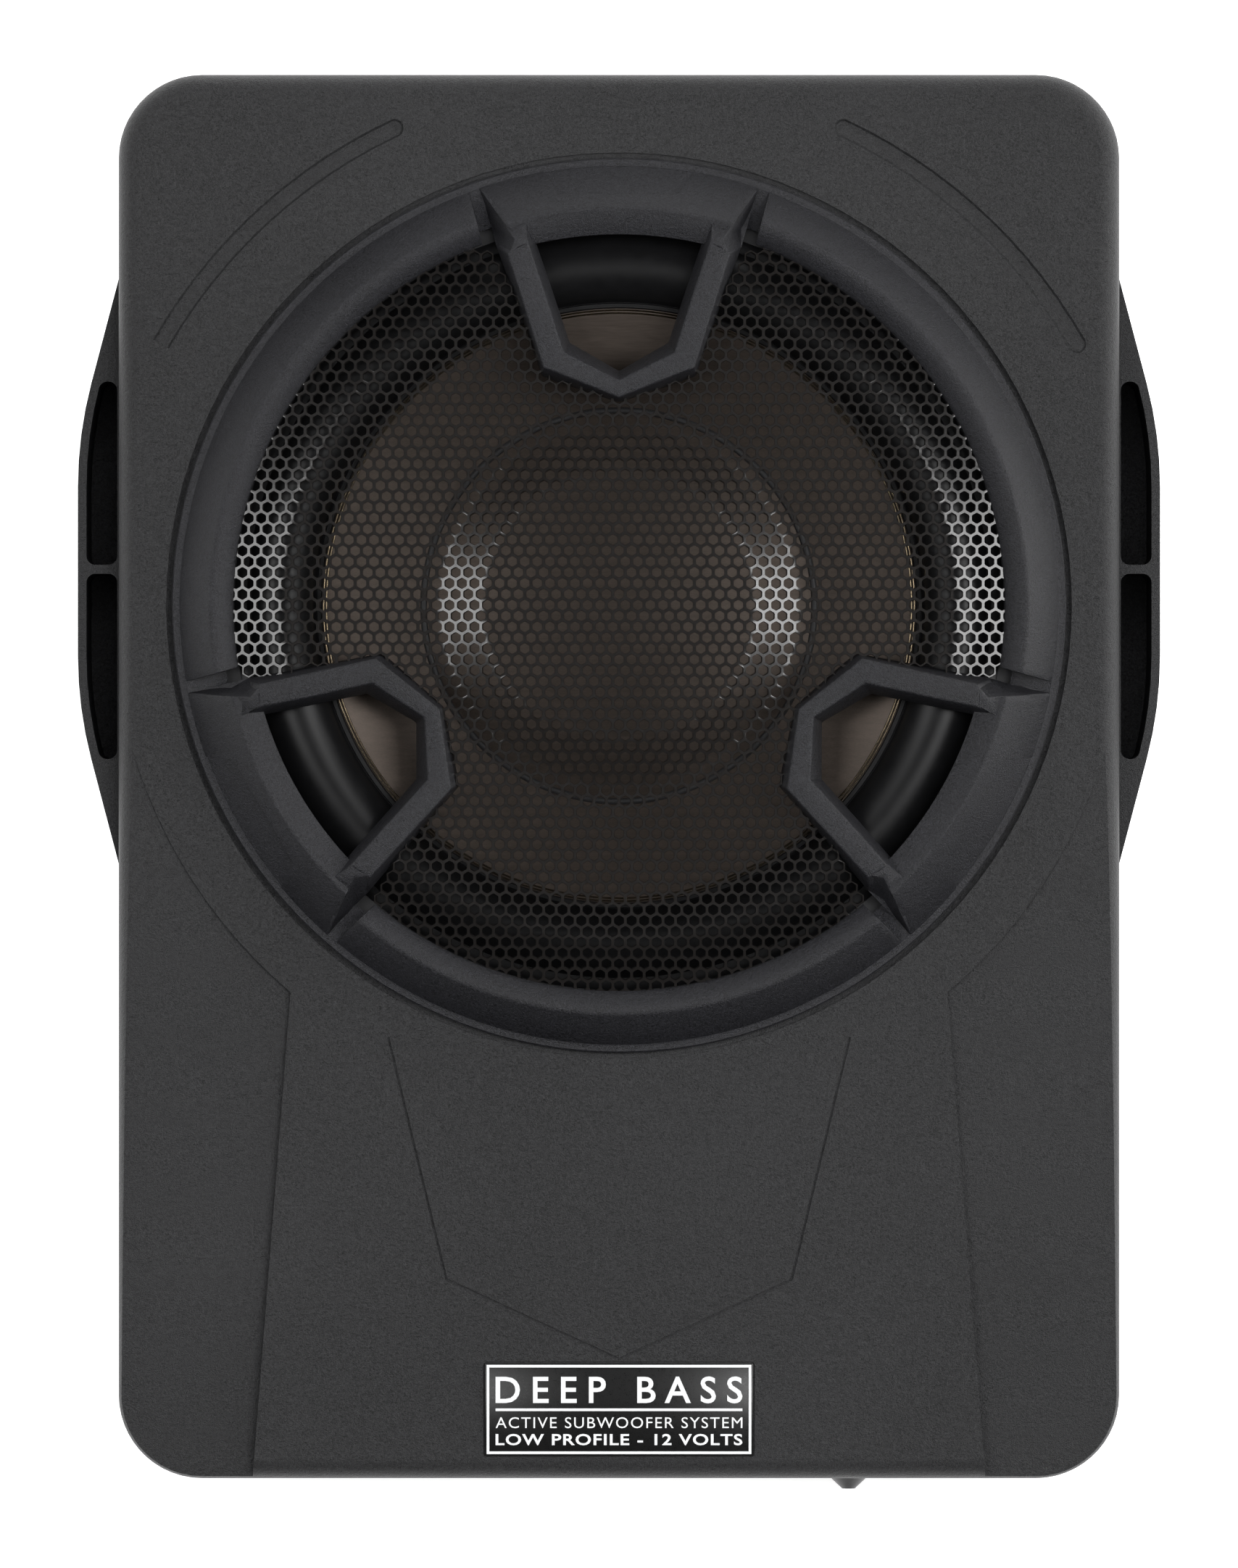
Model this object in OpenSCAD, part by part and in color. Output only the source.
// Powered car subwoofer: a flat cabinet with a 20 cm driver, its own amplifier and a plug panel.
// Millimetres. +Z is up, +Y runs towards the driver end, and +X is to the right seen from above.
// The origin is under the middle of the whole object, on the surface that the rubber feet stand on.

/* [Cabinet] */
// Width of the cabinet without its side wings
case_w = 246; // [242:1:250]
// Length of the cabinet
case_l = 345; // [342:1:350]
// Height of the cabinet's flat top
case_top = 62; // [61:0.5:64]
// Radius of the cabinet's upright corners
corner_r = 20.5; // [18:0.5:24]
// Radius of the rounded edge along the top
edge_r = 5; // [3:0.5:6]
// Thickness of the side walls
wall = 3; // [2.5:0.5:3.5]
// Thickness of the top
skin = 4.5; // [4:0.5:5]
// How far the outer parts of the top fall away beside the tongue
fall = 2.6; // [1:0.1:3]
// Thickness of the steel base plate
base_t = 2; // [1.5:0.5:2]
// Height of the rubber feet
foot_h = 3; // [2.5:0.5:4]

/* [Side wings] */
// How far a wing stands out from the cabinet's side
wing_out = 10.2; // [8:0.1:11]
// Half of a wing's length
wing_half = 72.5; // [70:0.5:75]
// Height of a wing's upper face
wing_top = 52; // [40:1:54]
// Thickness of the rim round a wing's pockets
wing_rim = 2.1; // [1.8:0.1:2.4]

/* [Driver and grille] */
// Distance of the driver's axis from the middle of the cabinet
driver_y = 42; // [40:1:43]
// Outer radius of the trim ring
ring_r = 109.8; // [108:0.1:110]
// Radius of the grille's open area
grille_r = 95; // [94:0.5:96]
// Radius of the middle of the surround's roll
roll_r = 83; // [82.5:0.5:83.5]
// Radius of the dust cap
cap_r = 48; // [44:1:50]
// Radius of the voice coil former
coil_r = 25; // [24.8:0.1:25.2]

/* [Plug panel] */
// Width of the opening for the plug panel
panel_w = 208; // [206:1:212]
// Height of the opening for the plug panel
panel_h = 37; // [36:1:38]
// How deep the plug panel lies behind the cabinet's edge
panel_in = 12; // [11.5:0.5:12.5]
// Place of the level knob across the panel
knob_x = 56.8; // [54:0.2:59]
// How far the level knob's tip stands out past the cabinet's edge
knob_out = 3.7; // [3:0.1:5]

/* [Hidden] */
$fn = 96;
case_y = knob_out / 2;
axis_y = case_y + driver_y;
base_z = foot_h + base_t;
front_y = case_y - case_l / 2;
panel_y = front_y + panel_in;
panel_t = 2;
panel_z = 9 + panel_h / 2;
ceiling = case_top - skin;
edge_strip = 12;

// Heights of the driver's parts
seat_z = 53.5;
flange_z = 57;
rim_z = 57.6;
yoke_z = 8;
magnet_z = 13;
plate_z = 26;
basket_z = 32;
spider_z = 39;

// Heights of the trim and the grille
recess_z = case_top - 2;
ledge_z = case_top + 0.3;
mesh_rim_z = 65.8;
mesh_flat_z = 69.2;
mesh_disc_z = 72.4;
mesh_t = 0.8;
strut_z = 72.8;
pad_z = 71;
recess_r = 111.2;
flange_r = 101.5;
screw_r = 98;
trim_screw_r = 106.5;

// Half outlines of one grille strut, from the ring inwards to its point
strut_foot = [[31.5, 92], [18.9, 56.1], [0, 50.1]];
strut_face = [[28.0, 92], [18.2, 57.8], [0, 51.7]];
window_face = [[24.4, 96], [13.6, 61.8], [0, 55.3]];
window_foot = [[22.4, 96], [12.0, 64.5], [0, 57.6]];

// Places of repeated fasteners, from the middle of the cabinet
boss_points = [
    [112, 161.5], [-112, 161.5], [112, -161.5], [-112, -161.5],
    [116.5, -40], [-116.5, -40], [45, 165.5], [-45, 165.5]
];
bracket_points = [[85, 120], [-85, 120], [85, -120], [-85, -120]];
foot_points = [[98, 148], [-98, 148], [98, -148], [-98, -148]];
wing_y = 50.5;
wing_screw_offset = 51.5;

// ---------- shared shapes ----------

// Children placed from the middle of the cabinet
module at_case() translate([0, case_y, 0]) children();

// Children placed from the driver's axis
module at_driver() translate([0, axis_y, 0]) children();

// Children placed at each of the points, from the middle of the cabinet
module at_points(points) at_case() for (p = points) translate([p[0], p[1], 0]) children();

// Children turned so that their Z points out of the plug panel, at a place across and up the panel
module on_panel(x, z) translate([x, panel_y, z]) rotate([90, 0, 0]) children();

// A flat ring
module ring(outer, inner, z0, z1)
    rotate_extrude() translate([inner, z0]) square([outer - inner, z1 - z0]);

// A rectangle with round corners
module rounded_rect(w, l, r) {
    square([w - 2 * r, l], center = true);
    square([w, l - 2 * r], center = true);
    for (x = [-1, 1], y = [-1, 1]) translate([x * (w / 2 - r), y * (l / 2 - r)]) circle(r);
}

// A block between two corners
module block(low, high) translate(low) cube(high - low);

// Both halves of an outline that is given for x >= 0 and ends on the axis
function both_sides(half) = concat(half, [for (i = [len(half) - 2 : -1 : 0]) [-half[i][0], half[i][1]]]);

// A solid between a lower and an upper outline, both clockwise from above and with as many points each
module between(lower, z0, upper, z1) {
    n = len(lower);
    polyhedron(
        points = concat([for (p = lower) [p[0], p[1], z0]], [for (p = upper) [p[0], p[1], z1]]),
        faces = concat(
            [[for (i = [n - 1 : -1 : 0]) i]],
            [[for (i = [0 : n - 1]) n + i]],
            [for (i = [0 : n - 1]) [i, (i + 1) % n, n + (i + 1) % n]],
            [for (i = [0 : n - 1]) [i, n + (i + 1) % n, n + i]]
        )
    );
}

// ---------- cabinet ----------

// Section through the cabinet's wall and the rounded edge of its top, measured from a corner's centre
module wall_section() difference() {
    union() {
        translate([corner_r - wall, base_z]) square([wall, case_top - base_z]);
        translate([corner_r - edge_strip, ceiling]) square([edge_strip, skin]);
    }
    translate([corner_r - edge_r, case_top - edge_r]) difference() {
        square(edge_r + 1);
        circle(edge_r);
    }
}

module cabinet_shell() {
    half_w = case_w / 2 - corner_r;
    half_l = case_l / 2 - corner_r;
    for (side = [0, 180]) rotate([0, 0, side]) {
        translate([half_w, 0, 0]) rotate([90, 0, 0])
            linear_extrude(2 * half_l, center = true) wall_section();
        translate([0, half_l, 0]) rotate([0, 0, 90]) rotate([90, 0, 0])
            linear_extrude(2 * half_w, center = true) wall_section();
        translate([half_w, half_l, 0]) rotate_extrude(angle = 90) wall_section();
        translate([half_w, -half_l, 0]) rotate([0, 0, -90]) rotate_extrude(angle = 90) wall_section();
    }
    translate([0, 0, ceiling]) linear_extrude(skin)
        rounded_rect(case_w - 2 * edge_strip, case_l - 2 * edge_strip, corner_r - edge_strip);
}

// The two outer parts of the top that slope away beside the round plateau and its tongue
module fallen_corners() {
    plateau_r = 124.6;
    start_y = 22;
    length = case_l / 2 + start_y;
    difference() {
        translate([0, start_y, case_top]) rotate([atan(fall / length), 0, 0])
            translate([-case_w, -2 * length, 0]) cube([2 * case_w, 2 * length, 20]);
        translate([0, driver_y, 0]) cylinder(h = 100, r = plateau_r);
        linear_extrude(100)
            polygon([[80.6, -52.3], [90.1, -case_l / 2 - 1], [-90.1, -case_l / 2 - 1], [-80.6, -52.3]]);
    }
}

// A fine engraved line between two points of the top
module engraved(a, b, width = 0.6, depth = 0.5) {
    d = b - a;
    translate([a[0], a[1], case_top - depth]) rotate([0, 0, atan2(d[1], d[0])])
        translate([0, -width / 2, 0]) cube([norm(d), width, depth + 1]);
}

// The shield outline and the two curved slots engraved in the top, whose walls lean outwards
module top_graphics() {
    shield = [[56.7, -64], [42.4, -123.5], [0, -143.1], [-42.4, -123.5], [-56.7, -64]];
    slot_r = 129.5;
    slot_floor_half = 1.75;
    slot_depth = 0.6;
    slot_wall_run = 0.5;
    cut_h = slot_depth + 1;
    cut_half = slot_floor_half + cut_h * slot_wall_run / slot_depth;
    for (i = [0 : len(shield) - 2]) engraved(shield[i], shield[i + 1]);
    translate([0, driver_y, case_top - slot_depth]) for (start = [29.7, 115.2]) {
        rotate([0, 0, start]) rotate_extrude(angle = 35.1) translate([slot_r, 0]) polygon([
            [-slot_floor_half, 0], [slot_floor_half, 0], [cut_half, cut_h], [-cut_half, cut_h]
        ]);
        for (a = [start, start + 35.1]) rotate([0, 0, a]) translate([slot_r, 0, 0])
            cylinder(h = cut_h, r1 = slot_floor_half, r2 = cut_half);
    }
}

// The walls of the recess that the plug panel sits in, with four lugs for its screws
module panel_tunnel() {
    t = 2;
    depth = panel_in + panel_t + 6;
    y0 = -case_l / 2;
    difference() {
        block([-panel_w / 2 - t, y0 + wall / 2, panel_z - panel_h / 2 - t],
              [panel_w / 2 + t, y0 + depth, panel_z + panel_h / 2 + t]);
        block([-panel_w / 2, y0 - 1, panel_z - panel_h / 2],
              [panel_w / 2, y0 + depth + 1, panel_z + panel_h / 2]);
    }
    for (x = [-1, 1], z = [-1, 1]) translate([x * (panel_w / 2 - 4), y0 + depth - 3, panel_z + z * (panel_h / 2 - 4)])
        cube([8, 6, 8], center = true);
}

module top_case() color([0.055, 0.055, 0.058]) difference() {
    at_case() difference() {
        union() {
            cabinet_shell();
            translate([0, driver_y, 0]) ring(106, 80, seat_z - 3, ceiling);
            for (p = boss_points) translate([p[0], p[1], base_z]) cylinder(h = ceiling - base_z, r = 4.5);
            panel_tunnel();
        }
        fallen_corners();
        top_graphics();
        for (p = boss_points) translate([p[0], p[1], base_z - 1]) cylinder(h = 13, r = 1.5);
        block([-panel_w / 2, -case_l / 2 - 1, panel_z - panel_h / 2],
              [panel_w / 2, -case_l / 2 + wall + 1, panel_z + panel_h / 2]);
        translate([0, -155.4, case_top - 0.4]) linear_extrude(2) rounded_rect(66.6, 23.5, 1);
        for (x = [-1, 1], y = [-1, 1]) translate([x * case_w / 2, wing_y + y * wing_screw_offset, 27])
            rotate([0, 90, 0]) cylinder(h = 12, r = 1.5, center = true);
        for (x = [-1, 1], z = [-1, 1])
            translate([x * (panel_w / 2 - 4), -case_l / 2 + panel_in + 1, panel_z + z * (panel_h / 2 - 4)])
                rotate([-90, 0, 0]) cylinder(h = 6, r = 1.5);
    }
    at_driver() {
        cylinder(h = 100, r = 92.5);
        translate([0, 0, seat_z]) cylinder(h = 20, r = 102);
        translate([0, 0, recess_z]) cylinder(h = 20, r = recess_r);
        for (i = [0 : 7]) rotate([0, 0, 45 * i + 22.5]) translate([screw_r, 0, 0]) cylinder(h = 60, r = 2);
        for (i = [0 : 5]) rotate([0, 0, 60 * i]) translate([trim_screw_r, 0, 0]) {
            cylinder(h = 61, r = 1.3);
            cylinder(h = ceiling, r = 2.9);
        }
    }
}

module base_plate() color([0.09, 0.09, 0.1]) difference() {
    at_case() translate([0, 0, foot_h]) linear_extrude(base_t)
        rounded_rect(case_w - 1, case_l - 1, corner_r - 0.5);
    at_points(boss_points) {
        translate([0, 0, foot_h - 1]) cylinder(h = base_t + 2, r = 1.5);
        translate([0, 0, foot_h]) cylinder(h = 1.5, r1 = 3, r2 = 1.5);
    }
    at_points(bracket_points) translate([0, 0, foot_h - 1]) cylinder(h = base_t + 2, r = 3.5);
}

// Outline of a wing's edge, moved in by an amount; x is measured out from the cabinet's side
function wing_edge(inset) = let (
        r = 100,
        lean = atan(wing_out / (wing_half * 0.535)),
        cx = wing_out - r,
        cy = wing_half * 0.465 - r * tan(lean / 2),
        arc = [for (i = [0 : 4]) [cx + (r - inset) * cos(lean * i / 4), cy + (r - inset) * sin(lean * i / 4)]],
        end = [0, wing_half - inset / sin(lean)]
    ) concat(
        [[0, -end[1]]],
        [for (i = [4 : -1 : 0]) [arc[i][0], -arc[i][1]]],
        arc,
        [end]
    );

// One wing, bulging to +X: a rim round two deep pockets with a web between them
module wing() difference() {
    translate([0, 0, 8]) linear_extrude(wing_top - 8) polygon(wing_edge(0));
    translate([0, 0, 10]) linear_extrude(wing_top) for (span = [[-46.2, -0.6], [1.6, 46.7]])
        offset(r = 2.2) offset(delta = -2.2) intersection() {
            polygon(wing_edge(wing_rim));
            translate([0.5, span[0]]) square([20, span[1] - span[0]]);
        }
    for (y = [-1, 1]) translate([-1, y * wing_screw_offset, 27]) rotate([0, 90, 0]) cylinder(h = 4.2, r = 1.5);
}

module side_wing_left() color([0.055, 0.055, 0.058])
    translate([-case_w / 2, case_y + wing_y, 0]) mirror([1, 0, 0]) wing();

module side_wing_right() color([0.055, 0.055, 0.058])
    translate([case_w / 2, case_y + wing_y, 0]) wing();

module wing_screws() color([0.6, 0.6, 0.62])
    for (x = [-1, 1], y = [-1, 1])
        translate([x * (case_w / 2 - wall), case_y + wing_y + y * wing_screw_offset, 27])
            rotate([0, x * 90, 0]) {
                cylinder(h = wall + 3.2, r = 1.5);
                translate([0, 0, -1.8]) cylinder(h = 1.8, r = 2.8);
            }

module base_screws() color([0.6, 0.6, 0.62]) at_points(boss_points) difference() {
    translate([0, 0, foot_h]) union() {
        cylinder(h = 14, r = 1.5);
        cylinder(h = 1.5, r1 = 3, r2 = 1.5);
    }
    translate([0, 0, foot_h - 1]) cylinder(h = 1.7, r = 1, $fn = 6);
}

module rivet_nuts() color([0.75, 0.72, 0.6]) at_points(bracket_points) difference() {
    union() {
        translate([0, 0, foot_h]) cylinder(h = 10, r = 3.5);
        translate([0, 0, foot_h - 0.8]) cylinder(h = 0.8, r = 5);
    }
    translate([0, 0, foot_h - 2]) cylinder(h = 20, r = 2.1);
}

module rubber_feet() color([0.03, 0.03, 0.03]) at_points(foot_points) {
    translate([0, 0, 0.8]) cylinder(h = foot_h - 0.8, r = 9);
    cylinder(h = 0.8, r1 = 8.2, r2 = 9);
}

// ---------- trim ring, grille and badge ----------

// Section of the ring: foot, outward slope and rounded inner band
module ring_section() polygon(concat(
    [[103.5, recess_z], [ring_r, recess_z], [ring_r, ledge_z], [108.1, ledge_z], [100.6, 69.0]],
    [for (a = [80 : 11 : 135]) [99.2 + 5.8 * cos(a), 63.6 + 5.8 * sin(a)]],
    [[grille_r, mesh_rim_z], [101, mesh_rim_z], [103.5, mesh_rim_z - 2.5]]
));

// Section of the pad at the root of a strut: outward slope and inward slope
module pad_section() polygon([
    [91, 66.8], [96.7, pad_z], [108.1, ledge_z], [108.1, recess_z + 1], [103.5, recess_z + 1],
    [103.5, 63.3], [101, mesh_rim_z], [91, mesh_rim_z]
]);

// The ridge beside a pad that runs out over the ring to a point
module horn() {
    bit = 0.4;
    ring_foot = recess_z + 1;
    bar_foot = mesh_rim_z + 0.2;
    corners = [
        [34.0, 102.6, ledge_z, ring_foot], [36.4, 101.6, ledge_z, ring_foot], [34.4, 90.8, 66.9, bar_foot],
        [32.1, 89.4, 67.6, bar_foot], [27.4, 85.7, strut_z, bar_foot], [26.0, 89.4, 72.2, bar_foot]
    ];
    hull() for (c = corners, z = [c[2] - bit, c[3]]) translate([c[0] - bit / 2, c[1] - bit / 2, z]) cube(bit);
}

// One open strut: two bars that meet in a point, with a horn beside each root
module strut() {
    difference() {
        between(both_sides(strut_foot), 67, both_sides(strut_face), strut_z);
        between(both_sides(window_foot), 66, both_sides(window_face), strut_z + 0.5);
    }
    for (side = [0, 1]) mirror([side, 0, 0]) horn();
}

module grille_struts() color([0.06, 0.06, 0.065]) at_driver()
    for (turn = [0, 120, 240]) rotate([0, 0, turn]) strut();

// The raised part of the ring that carries one strut
module pad() intersection() {
    rotate([0, 0, 60]) rotate_extrude(angle = 60) pad_section();
    linear_extrude(100) polygon([[24.5, 86], [34.1, 102.7], [36, 112], [-36, 112], [-34.1, 102.7], [-24.5, 86]]);
}

// The shallow panel sunk in a pad's outward slope
module pad_recess() intersection() {
    rotate([0, 0, 70]) rotate_extrude(angle = 40)
        polygon([[101.2, 66.9], [101.2, 80], [107.2, 80], [107.2, 62.4]]);
    linear_extrude(100) polygon([[15.2, 100], [19.5, 109.5], [-19.5, 109.5], [-15.2, 100]]);
}

module trim_ring() color([0.06, 0.06, 0.065]) at_driver() difference() {
    union() {
        rotate_extrude() ring_section();
        for (turn = [0, 120, 240]) rotate([0, 0, turn]) pad();
    }
    for (turn = [0, 120, 240]) rotate([0, 0, turn]) pad_recess();
    for (i = [0 : 5]) rotate([0, 0, 60 * i]) translate([trim_screw_r, 0, 0]) cylinder(h = 62.7, r = 1.3);
}

module trim_screws() color([0.6, 0.6, 0.62]) at_driver()
    for (i = [0 : 5]) rotate([0, 0, 60 * i]) translate([trim_screw_r, 0, 0]) {
        translate([0, 0, ceiling]) cylinder(h = 62.5 - ceiling, r = 1.3);
        translate([0, 0, ceiling - 2]) cylinder(h = 2, r = 2.6);
    }

// The perforated sheet, stepped up towards its middle and cut away round each strut
module grille_mesh() color([0.12, 0.12, 0.12]) at_driver() difference() {
    rotate_extrude() polygon([
        [0, mesh_disc_z - mesh_t], [33.8, mesh_disc_z - mesh_t], [44.1, mesh_flat_z - mesh_t],
        [83, mesh_flat_z - mesh_t], [grille_r, mesh_rim_z - mesh_t], [100.5, mesh_rim_z - mesh_t],
        [100.5, mesh_rim_z], [grille_r, mesh_rim_z], [83, mesh_flat_z], [44.1, mesh_flat_z],
        [33.8, mesh_disc_z], [0, mesh_disc_z]
    ]);
    for (turn = [0, 120, 240]) rotate([0, 0, turn]) linear_extrude(100)
        polygon(both_sides([[39.6, 103], [35.2, 90.6], [31.9, 88], [19.2, 55.9], [0, 49.8]]));
}

module badge() color([0.7, 0.7, 0.72]) at_case() translate([0, -155.4, case_top - 0.4])
    linear_extrude(1.2) rounded_rect(65.9, 22.8, 0.8);

// ---------- driver ----------

module driver_basket() color([0.08, 0.08, 0.08]) at_driver() difference() {
    rotate_extrude() polygon([
        [26.9, basket_z], [58, basket_z], [92.4, 54.5], [flange_r, 54.5], [flange_r, flange_z],
        [90, flange_z], [56.5, 34.5], [47, 34.5], [47, spider_z], [42, spider_z], [42, 34.5], [26.9, 34.5]
    ]);
    for (i = [0 : 5]) rotate([0, 0, 60 * i]) translate([62, -14, 30]) cube([24, 28, 30]);
    for (i = [0 : 7]) rotate([0, 0, 45 * i + 22.5]) translate([screw_r, 0, 50]) cylinder(h = 10, r = 2.2);
}

module driver_gasket() color([0.05, 0.05, 0.05]) at_driver() difference() {
    ring(flange_r, 92.5, seat_z, 54.5);
    for (i = [0 : 7]) rotate([0, 0, 45 * i + 22.5]) translate([screw_r, 0, 50]) cylinder(h = 10, r = 2.2);
}

module driver_screws() color([0.6, 0.6, 0.62]) at_driver()
    for (i = [0 : 7]) rotate([0, 0, 45 * i + 22.5]) translate([screw_r, 0, 0]) difference() {
        union() {
            translate([0, 0, 49]) cylinder(h = flange_z - 49, r = 2);
            translate([0, 0, flange_z]) cylinder(h = 2, r = 3.2);
        }
        translate([0, 0, flange_z + 0.8]) cylinder(h = 2, r = 1.4, $fn = 6);
    }

// Half roll: a ring of rubber whose section is a shallow arch with a flat foot at each side
module surround() color([0.03, 0.03, 0.03]) at_driver() rotate_extrude() {
    half = 8.5;
    rise = 5.5;
    r = (half * half + rise * rise) / (2 * rise);
    intersection() {
        translate([roll_r, rim_z + rise - r]) difference() {
            circle(r);
            circle(r - 0.8);
        }
        translate([roll_r - 10, rim_z]) square([20, 10]);
    }
    translate([roll_r + half - 0.9, flange_z]) square([3.9, rim_z - flange_z]);
    translate([73, rim_z]) square([2.4, 0.6]);
}

module cone() color([0.55, 0.5, 0.45]) at_driver() rotate_extrude() polygon([
    [coil_r + 0.3, 44], [72, rim_z], [75.5, rim_z], [75.5, rim_z - 1], [72.3, rim_z - 1], [coil_r + 0.3, 43]
]);

module edge_ring() color([0.85, 0.75, 0.5]) at_driver() ring(72.9, 71.4, rim_z, rim_z + 0.8);

// Shallow dome glued over the middle of the cone
module dust_cap() color([0.55, 0.5, 0.45]) at_driver() rotate_extrude() {
    foot_z = 44 + (cap_r - coil_r - 0.3) * (rim_z - 44) / (72 - coil_r - 0.3) + 0.04;
    rise = 7.5;
    r = (cap_r * cap_r + rise * rise) / (2 * rise);
    intersection() {
        translate([0, foot_z + rise - r]) difference() {
            circle(r, $fn = 360);
            circle(r - 0.8, $fn = 360);
        }
        translate([0, foot_z]) square([cap_r + 2, rise + 2]);
    }
}

module coil_former() color([0.8, 0.7, 0.5]) at_driver() ring(coil_r + 0.3, coil_r, 20, 45);

module voice_coil() color([0.7, 0.35, 0.15]) at_driver() ring(coil_r + 1.2, coil_r + 0.3, 22, 36);

// Corrugated disc that centres the coil
module spider() color([0.75, 0.6, 0.3]) at_driver() rotate_extrude() {
    crests = [for (i = [0 : 6]) [coil_r + 2.3 + 2.3 * i, spider_z + (i % 2 == 0 ? 0.2 : 1.4)]];
    low = concat([[coil_r + 0.3, spider_z + 0.8]], crests, [[42, spider_z], [46.5, spider_z]]);
    polygon(concat(low, [for (i = [len(low) - 1 : -1 : 0]) [low[i][0], low[i][1] + 0.6]]));
}

module magnet() color([0.15, 0.15, 0.15]) at_driver() ring(52, 30, magnet_z, plate_z);

module front_plate() color([0.5, 0.5, 0.52]) at_driver() ring(50, 26.9, plate_z, basket_z);

module yoke() color([0.5, 0.5, 0.52]) at_driver() {
    translate([0, 0, yoke_z]) cylinder(h = magnet_z - yoke_z, r = 50);
    translate([0, 0, magnet_z]) cylinder(h = basket_z - magnet_z, r = 24.3);
}

module driver_terminal() color([0.1, 0.1, 0.1]) at_driver() {
    block([-10, -84, 34], [10, -76, 43]);
    for (x = [-5, 5]) block([x - 2.4, -92, 37.6], [x + 2.4, -84, 38.4]);
}

// ---------- amplifier ----------

// A tube of eight sides along a route of points
module tube(route, r) {
    sides = 8;
    n = len(route);
    function along(i) = let (d = route[min(i + 1, n - 1)] - route[max(i - 1, 0)]) d / norm(d);
    function across(d) = let (c = cross(d, [1, 0, 0])) c / norm(c);
    rings = [for (i = [0 : n - 1]) let (d = along(i), u = across(d), v = cross(d, u))
        for (k = [0 : sides - 1]) route[i] + r * (cos(360 * k / sides) * u + sin(360 * k / sides) * v)];
    polyhedron(
        points = rings,
        faces = concat(
            [[for (k = [0 : sides - 1]) k]],
            [for (i = [0 : n - 2], k = [0 : sides - 1])
                [i * sides + k, (i + 1) * sides + k, (i + 1) * sides + (k + 1) % sides, i * sides + (k + 1) % sides]],
            [[for (k = [sides - 1 : -1 : 0]) (n - 1) * sides + k]]
        )
    );
}

module speaker_leads() color([0.6, 0.1, 0.1])
    for (x = [-5, 5]) at_case() tube([
        [x, -76, 14.8], [x, -75, 20], [x, -72, 26], [x, -67, 31], [x, -60, 35], [x, -54, 37.6], [x, -50, 38]
    ], 1.2);

module amp_board() color([0.05, 0.25, 0.12]) at_case() difference() {
    block([-80, -148, 12], [80, -73, 13.6]);
    for (x = [-75, 75], y = [-142, -78]) translate([x, y, 0]) cylinder(h = 20, r = 1.6);
}

module board_standoffs() color([0.75, 0.7, 0.5]) at_case()
    for (x = [-75, 75], y = [-142, -78]) translate([x, y, 0]) ring(3, 1.5, base_z, 12);

module board_screws() color([0.6, 0.6, 0.62]) at_case()
    for (x = [-75, 75], y = [-142, -78]) translate([x, y, 0]) {
        translate([0, 0, 6]) cylinder(h = 7.6, r = 1.5);
        translate([0, 0, 13.6]) cylinder(h = 1.8, r = 2.8);
    }

module toroid() color([0.7, 0.4, 0.15]) at_case() translate([-48, -98, 13.6])
    rotate_extrude() translate([14, 8]) difference() {
        square([14, 16], center = true);
        for (x = [-1, 1], y = [-1, 1]) translate([x * 7, y * 8]) difference() {
            square(6, center = true);
            translate([-x * 3, -y * 3]) circle(3);
        }
    }

module capacitors() color([0.1, 0.12, 0.3]) at_case()
    for (x = [-8, 14, 36]) translate([x, -98, 13.6]) cylinder(h = 32, r = 9);

module heat_sink() color([0.7, 0.7, 0.72]) at_case() difference() {
    block([-70, -142, 20], [70, -130, ceiling]);
    for (i = [0 : 9]) block([-67 + 14 * i, -143, 19], [-61 + 14 * i, -135, ceiling - 4]);
}

module power_transistors() color([0.08, 0.08, 0.08]) at_case() for (i = [0 : 5]) {
    block([-58 + 21 * i, -130, 26], [-47 + 21 * i, -125.5, 42]);
    for (leg = [-2.5, 0, 2.5]) block([-52.5 + 21 * i + leg - 0.4, -128, 13.6], [-52.5 + 21 * i + leg + 0.4, -127.4, 26]);
}

module transistor_clamp() color([0.6, 0.6, 0.62]) at_case() block([-64, -125.5, 31], [64, -123.5, 37]);

// ---------- plug panel ----------

power_x = -54;
pole_pitch = 12;
pole_x = [-pole_pitch, 0, pole_pitch];
high_level_x = -20;
rca_x = [2, 18];
remote_x = 36;
trim_pot_x = [75, 91];
trim_pot_z = panel_z + 7;
low_row_z = panel_z - 9;
fuse_x = -84.5;

module control_panel() color([0.07, 0.07, 0.07]) difference() {
    block([-panel_w / 2, panel_y, panel_z - panel_h / 2], [panel_w / 2, panel_y + panel_t, panel_z + panel_h / 2]);
    on_panel(knob_x, panel_z) cylinder(h = 10, r = 3.5, center = true);
    for (x = trim_pot_x) on_panel(x, trim_pot_z) cylinder(h = 10, r = 3.5, center = true);
    for (x = rca_x) on_panel(x, panel_z) cylinder(h = 10, r = 4.15, center = true);
    on_panel(trim_pot_x[0], low_row_z) cube([10.4, 4, 10], center = true);
    on_panel(trim_pot_x[1], low_row_z) cylinder(h = 10, r = 1.6, center = true);
    on_panel(high_level_x, panel_z) cube([22, 14, 10], center = true);
    on_panel(remote_x, panel_z) cube([13, 11, 10], center = true);
    on_panel(power_x, panel_z) cube([3 * pole_pitch, 20, 10], center = true);
    on_panel(fuse_x, panel_z) cube([22, 24, 10], center = true);
    for (x = [-1, 1], z = [-1, 1]) on_panel(x * (panel_w / 2 - 4), panel_z + z * (panel_h / 2 - 4))
        cylinder(h = 10, r = 1.6, center = true);
}

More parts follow.
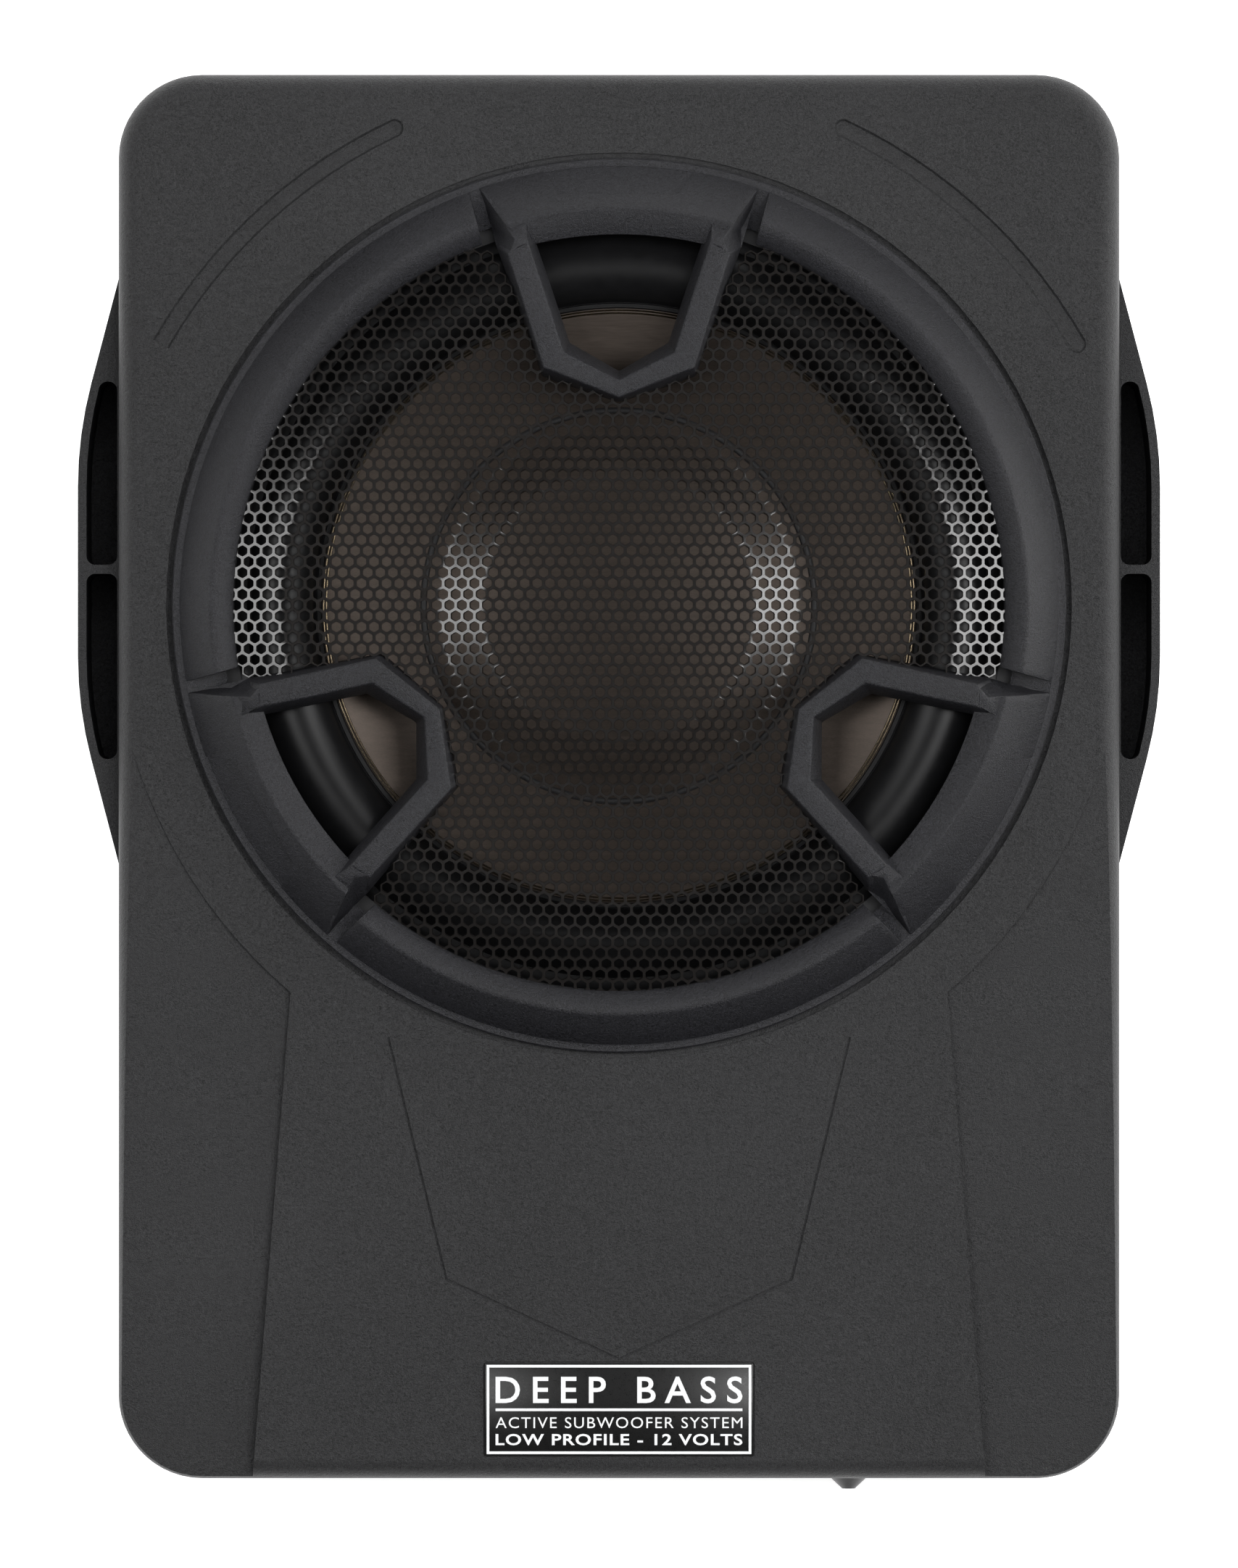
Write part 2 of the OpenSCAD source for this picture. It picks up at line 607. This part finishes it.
module panel_screws() color([0.6, 0.6, 0.62])
    for (x = [-1, 1], z = [-1, 1]) on_panel(x * (panel_w / 2 - 4), panel_z + z * (panel_h / 2 - 4)) difference() {
        union() {
            translate([0, 0, -7]) cylinder(h = 7, r = 1.5);
            cylinder(h = 1.8, r = 2.8);
        }
        translate([0, 0, 0.8]) cylinder(h = 2, r = 1, $fn = 6);
    }

// A potentiometer: its body behind the panel and the bush that comes through it
module pot(size) {
    difference() {
        union() {
            translate([0, 0, -panel_t - 5]) cube([size, size, 10], center = true);
            translate([0, 0, -panel_t]) cylinder(h = panel_t + 1, r = 3.4);
        }
        translate([0, 0, -9]) cylinder(h = 20, r = 3);
    }
}

module level_pot() color([0.6, 0.6, 0.62]) on_panel(knob_x, panel_z) pot(14);

module trimmer_bodies() color([0.6, 0.6, 0.62]) for (x = trim_pot_x) on_panel(x, trim_pot_z) pot(10);

module level_shaft() color([0.6, 0.6, 0.62]) on_panel(knob_x, panel_z)
    translate([0, 0, -8]) cylinder(h = 8 + panel_in - 3, r = 2.95);

// Slim knob with a skirt at the panel and a tapered tip past the cabinet's edge
module level_knob() color([0.03, 0.03, 0.03]) on_panel(knob_x, panel_z) difference() {
    union() {
        translate([0, 0, 1.5]) cylinder(h = 2, r = 6.5);
        translate([0, 0, 3.5]) cylinder(h = panel_in - 3.5, r = 5.5);
        translate([0, 0, panel_in]) cylinder(h = knob_out, r1 = 5.5, r2 = 1.6);
    }
    translate([0, 0, -1]) cylinder(h = panel_in - 2, r = 2.95);
}

// Screwdriver-slotted rotor of a trimmer
module trimmer_rotor() difference() {
    translate([0, 0, -8]) cylinder(h = 8 + 3, r = 2.95);
    translate([-0.5, -4, 1.8]) cube([1, 8, 2]);
}

module crossover_trimmer() color([0.85, 0.85, 0.85]) on_panel(trim_pot_x[0], trim_pot_z) trimmer_rotor();

module boost_trimmer() color([0.85, 0.85, 0.85]) on_panel(trim_pot_x[1], trim_pot_z) trimmer_rotor();

module phase_switch() color([0.6, 0.6, 0.62]) on_panel(trim_pot_x[0], low_row_z) difference() {
    translate([0, 0, -panel_t - 3.5]) cube([16, 7, 7], center = true);
    translate([0, 0, -panel_t]) cube([10.4, 4, 6], center = true);
}

module phase_slider() color([0.9, 0.9, 0.9]) on_panel(trim_pot_x[0], low_row_z)
    block([-4.8, -1.7, -panel_t - 2.6], [-0.8, 1.7, 2.2]);

module rca_shells() color([0.85, 0.7, 0.35]) for (x = rca_x) on_panel(x, panel_z) difference() {
    union() {
        translate([0, 0, -8]) cylinder(h = 8 + 8.5, r = 4.15);
        cylinder(h = 1.5, r = 6);
    }
    translate([0, 0, -9]) cylinder(h = 20, r = 3.4);
}

module rca_insulators() for (i = [0, 1]) color(i == 0 ? [0.9, 0.9, 0.9] : [0.75, 0.05, 0.05])
    on_panel(rca_x[i], panel_z) difference() {
        translate([0, 0, -8]) cylinder(h = 16, r = 3.4);
        cylinder(h = 20, r = 1.6);
    }

// A socket open to the front: a block with a cavity and a row of contacts at its back
module socket(w, h, depth, contacts) {
    difference() {
        translate([0, 0, (3 - depth) / 2]) cube([w, h, depth + 3], center = true);
        translate([0, 0, 3 - (depth - 1) / 2 + 0.5]) cube([w - 3, h - 3, depth], center = true);
    }
    for (i = [0 : contacts - 1])
        translate([(i - (contacts - 1) / 2) * (w - 7) / (contacts - 1), 0, 3.5 - depth + 0.5])
            cube([1, 2, 1], center = true);
}

module high_level_socket() color([0.9, 0.9, 0.88]) on_panel(high_level_x, panel_z) socket(22, 14, 10, 4);

module remote_port() color([0.05, 0.05, 0.05]) on_panel(remote_x, panel_z) socket(13, 11, 9, 4);

// Three single-pole blocks side by side, each with a wire entry and a screw above it
module power_terminal() color([0.03, 0.03, 0.03]) on_panel(power_x, panel_z)
    for (x = pole_x) translate([x, 0, 0]) difference() {
        translate([0, 0, -1]) cube([pole_pitch - 0.1, 20, 16], center = true);
        translate([0, -2, -4]) cylinder(h = 20, r = 2.6);
        translate([0, -0.5, 2]) rotate([-90, 0, 0]) cylinder(h = 20, r = 1.7);
    }

module terminal_screws() color([0.75, 0.75, 0.75]) on_panel(power_x, panel_z)
    for (x = pole_x) translate([x, 3.4, 2]) rotate([-90, 0, 0]) difference() {
        cylinder(h = 5.4, r = 1.7);
        translate([-0.4, -3, 4.4]) cube([0.8, 6, 2]);
    }

module fuse_holder() color([0.03, 0.03, 0.03]) on_panel(fuse_x, panel_z) difference() {
    translate([0, 0, -3]) cube([22, 24, 12], center = true);
    for (y = [-6, 6]) translate([0, y, 0.5]) cube([19.4, 5.4, 6], center = true);
}

module fuses() color([0.15, 0.35, 0.8]) on_panel(fuse_x, panel_z) for (y = [-6, 6]) translate([0, y, 0]) {
    translate([0, 0, 1.9]) cube([19, 5, 8.8], center = true);
}

module power_led() color([0.1, 0.3, 0.9]) on_panel(trim_pot_x[1], low_row_z) {
    translate([0, 0, -6]) cylinder(h = 7, r = 1.6);
    translate([0, 0, -7]) cylinder(h = 1, r = 2);
    translate([0, 0, 1]) cylinder(h = 0.6, r1 = 1.6, r2 = 0.9);
}

top_case();
base_plate();
side_wing_left();
side_wing_right();
wing_screws();
base_screws();
rivet_nuts();
rubber_feet();
trim_ring();
grille_struts();
trim_screws();
grille_mesh();
badge();
driver_basket();
driver_gasket();
driver_screws();
surround();
cone();
edge_ring();
dust_cap();
coil_former();
voice_coil();
spider();
magnet();
front_plate();
yoke();
driver_terminal();
speaker_leads();
amp_board();
board_standoffs();
board_screws();
toroid();
capacitors();
power_transistors();
transistor_clamp();
heat_sink();
control_panel();
panel_screws();
level_pot();
level_shaft();
level_knob();
trimmer_bodies();
crossover_trimmer();
boost_trimmer();
phase_switch();
phase_slider();
rca_shells();
rca_insulators();
high_level_socket();
remote_port();
power_terminal();
terminal_screws();
fuse_holder();
fuses();
power_led();
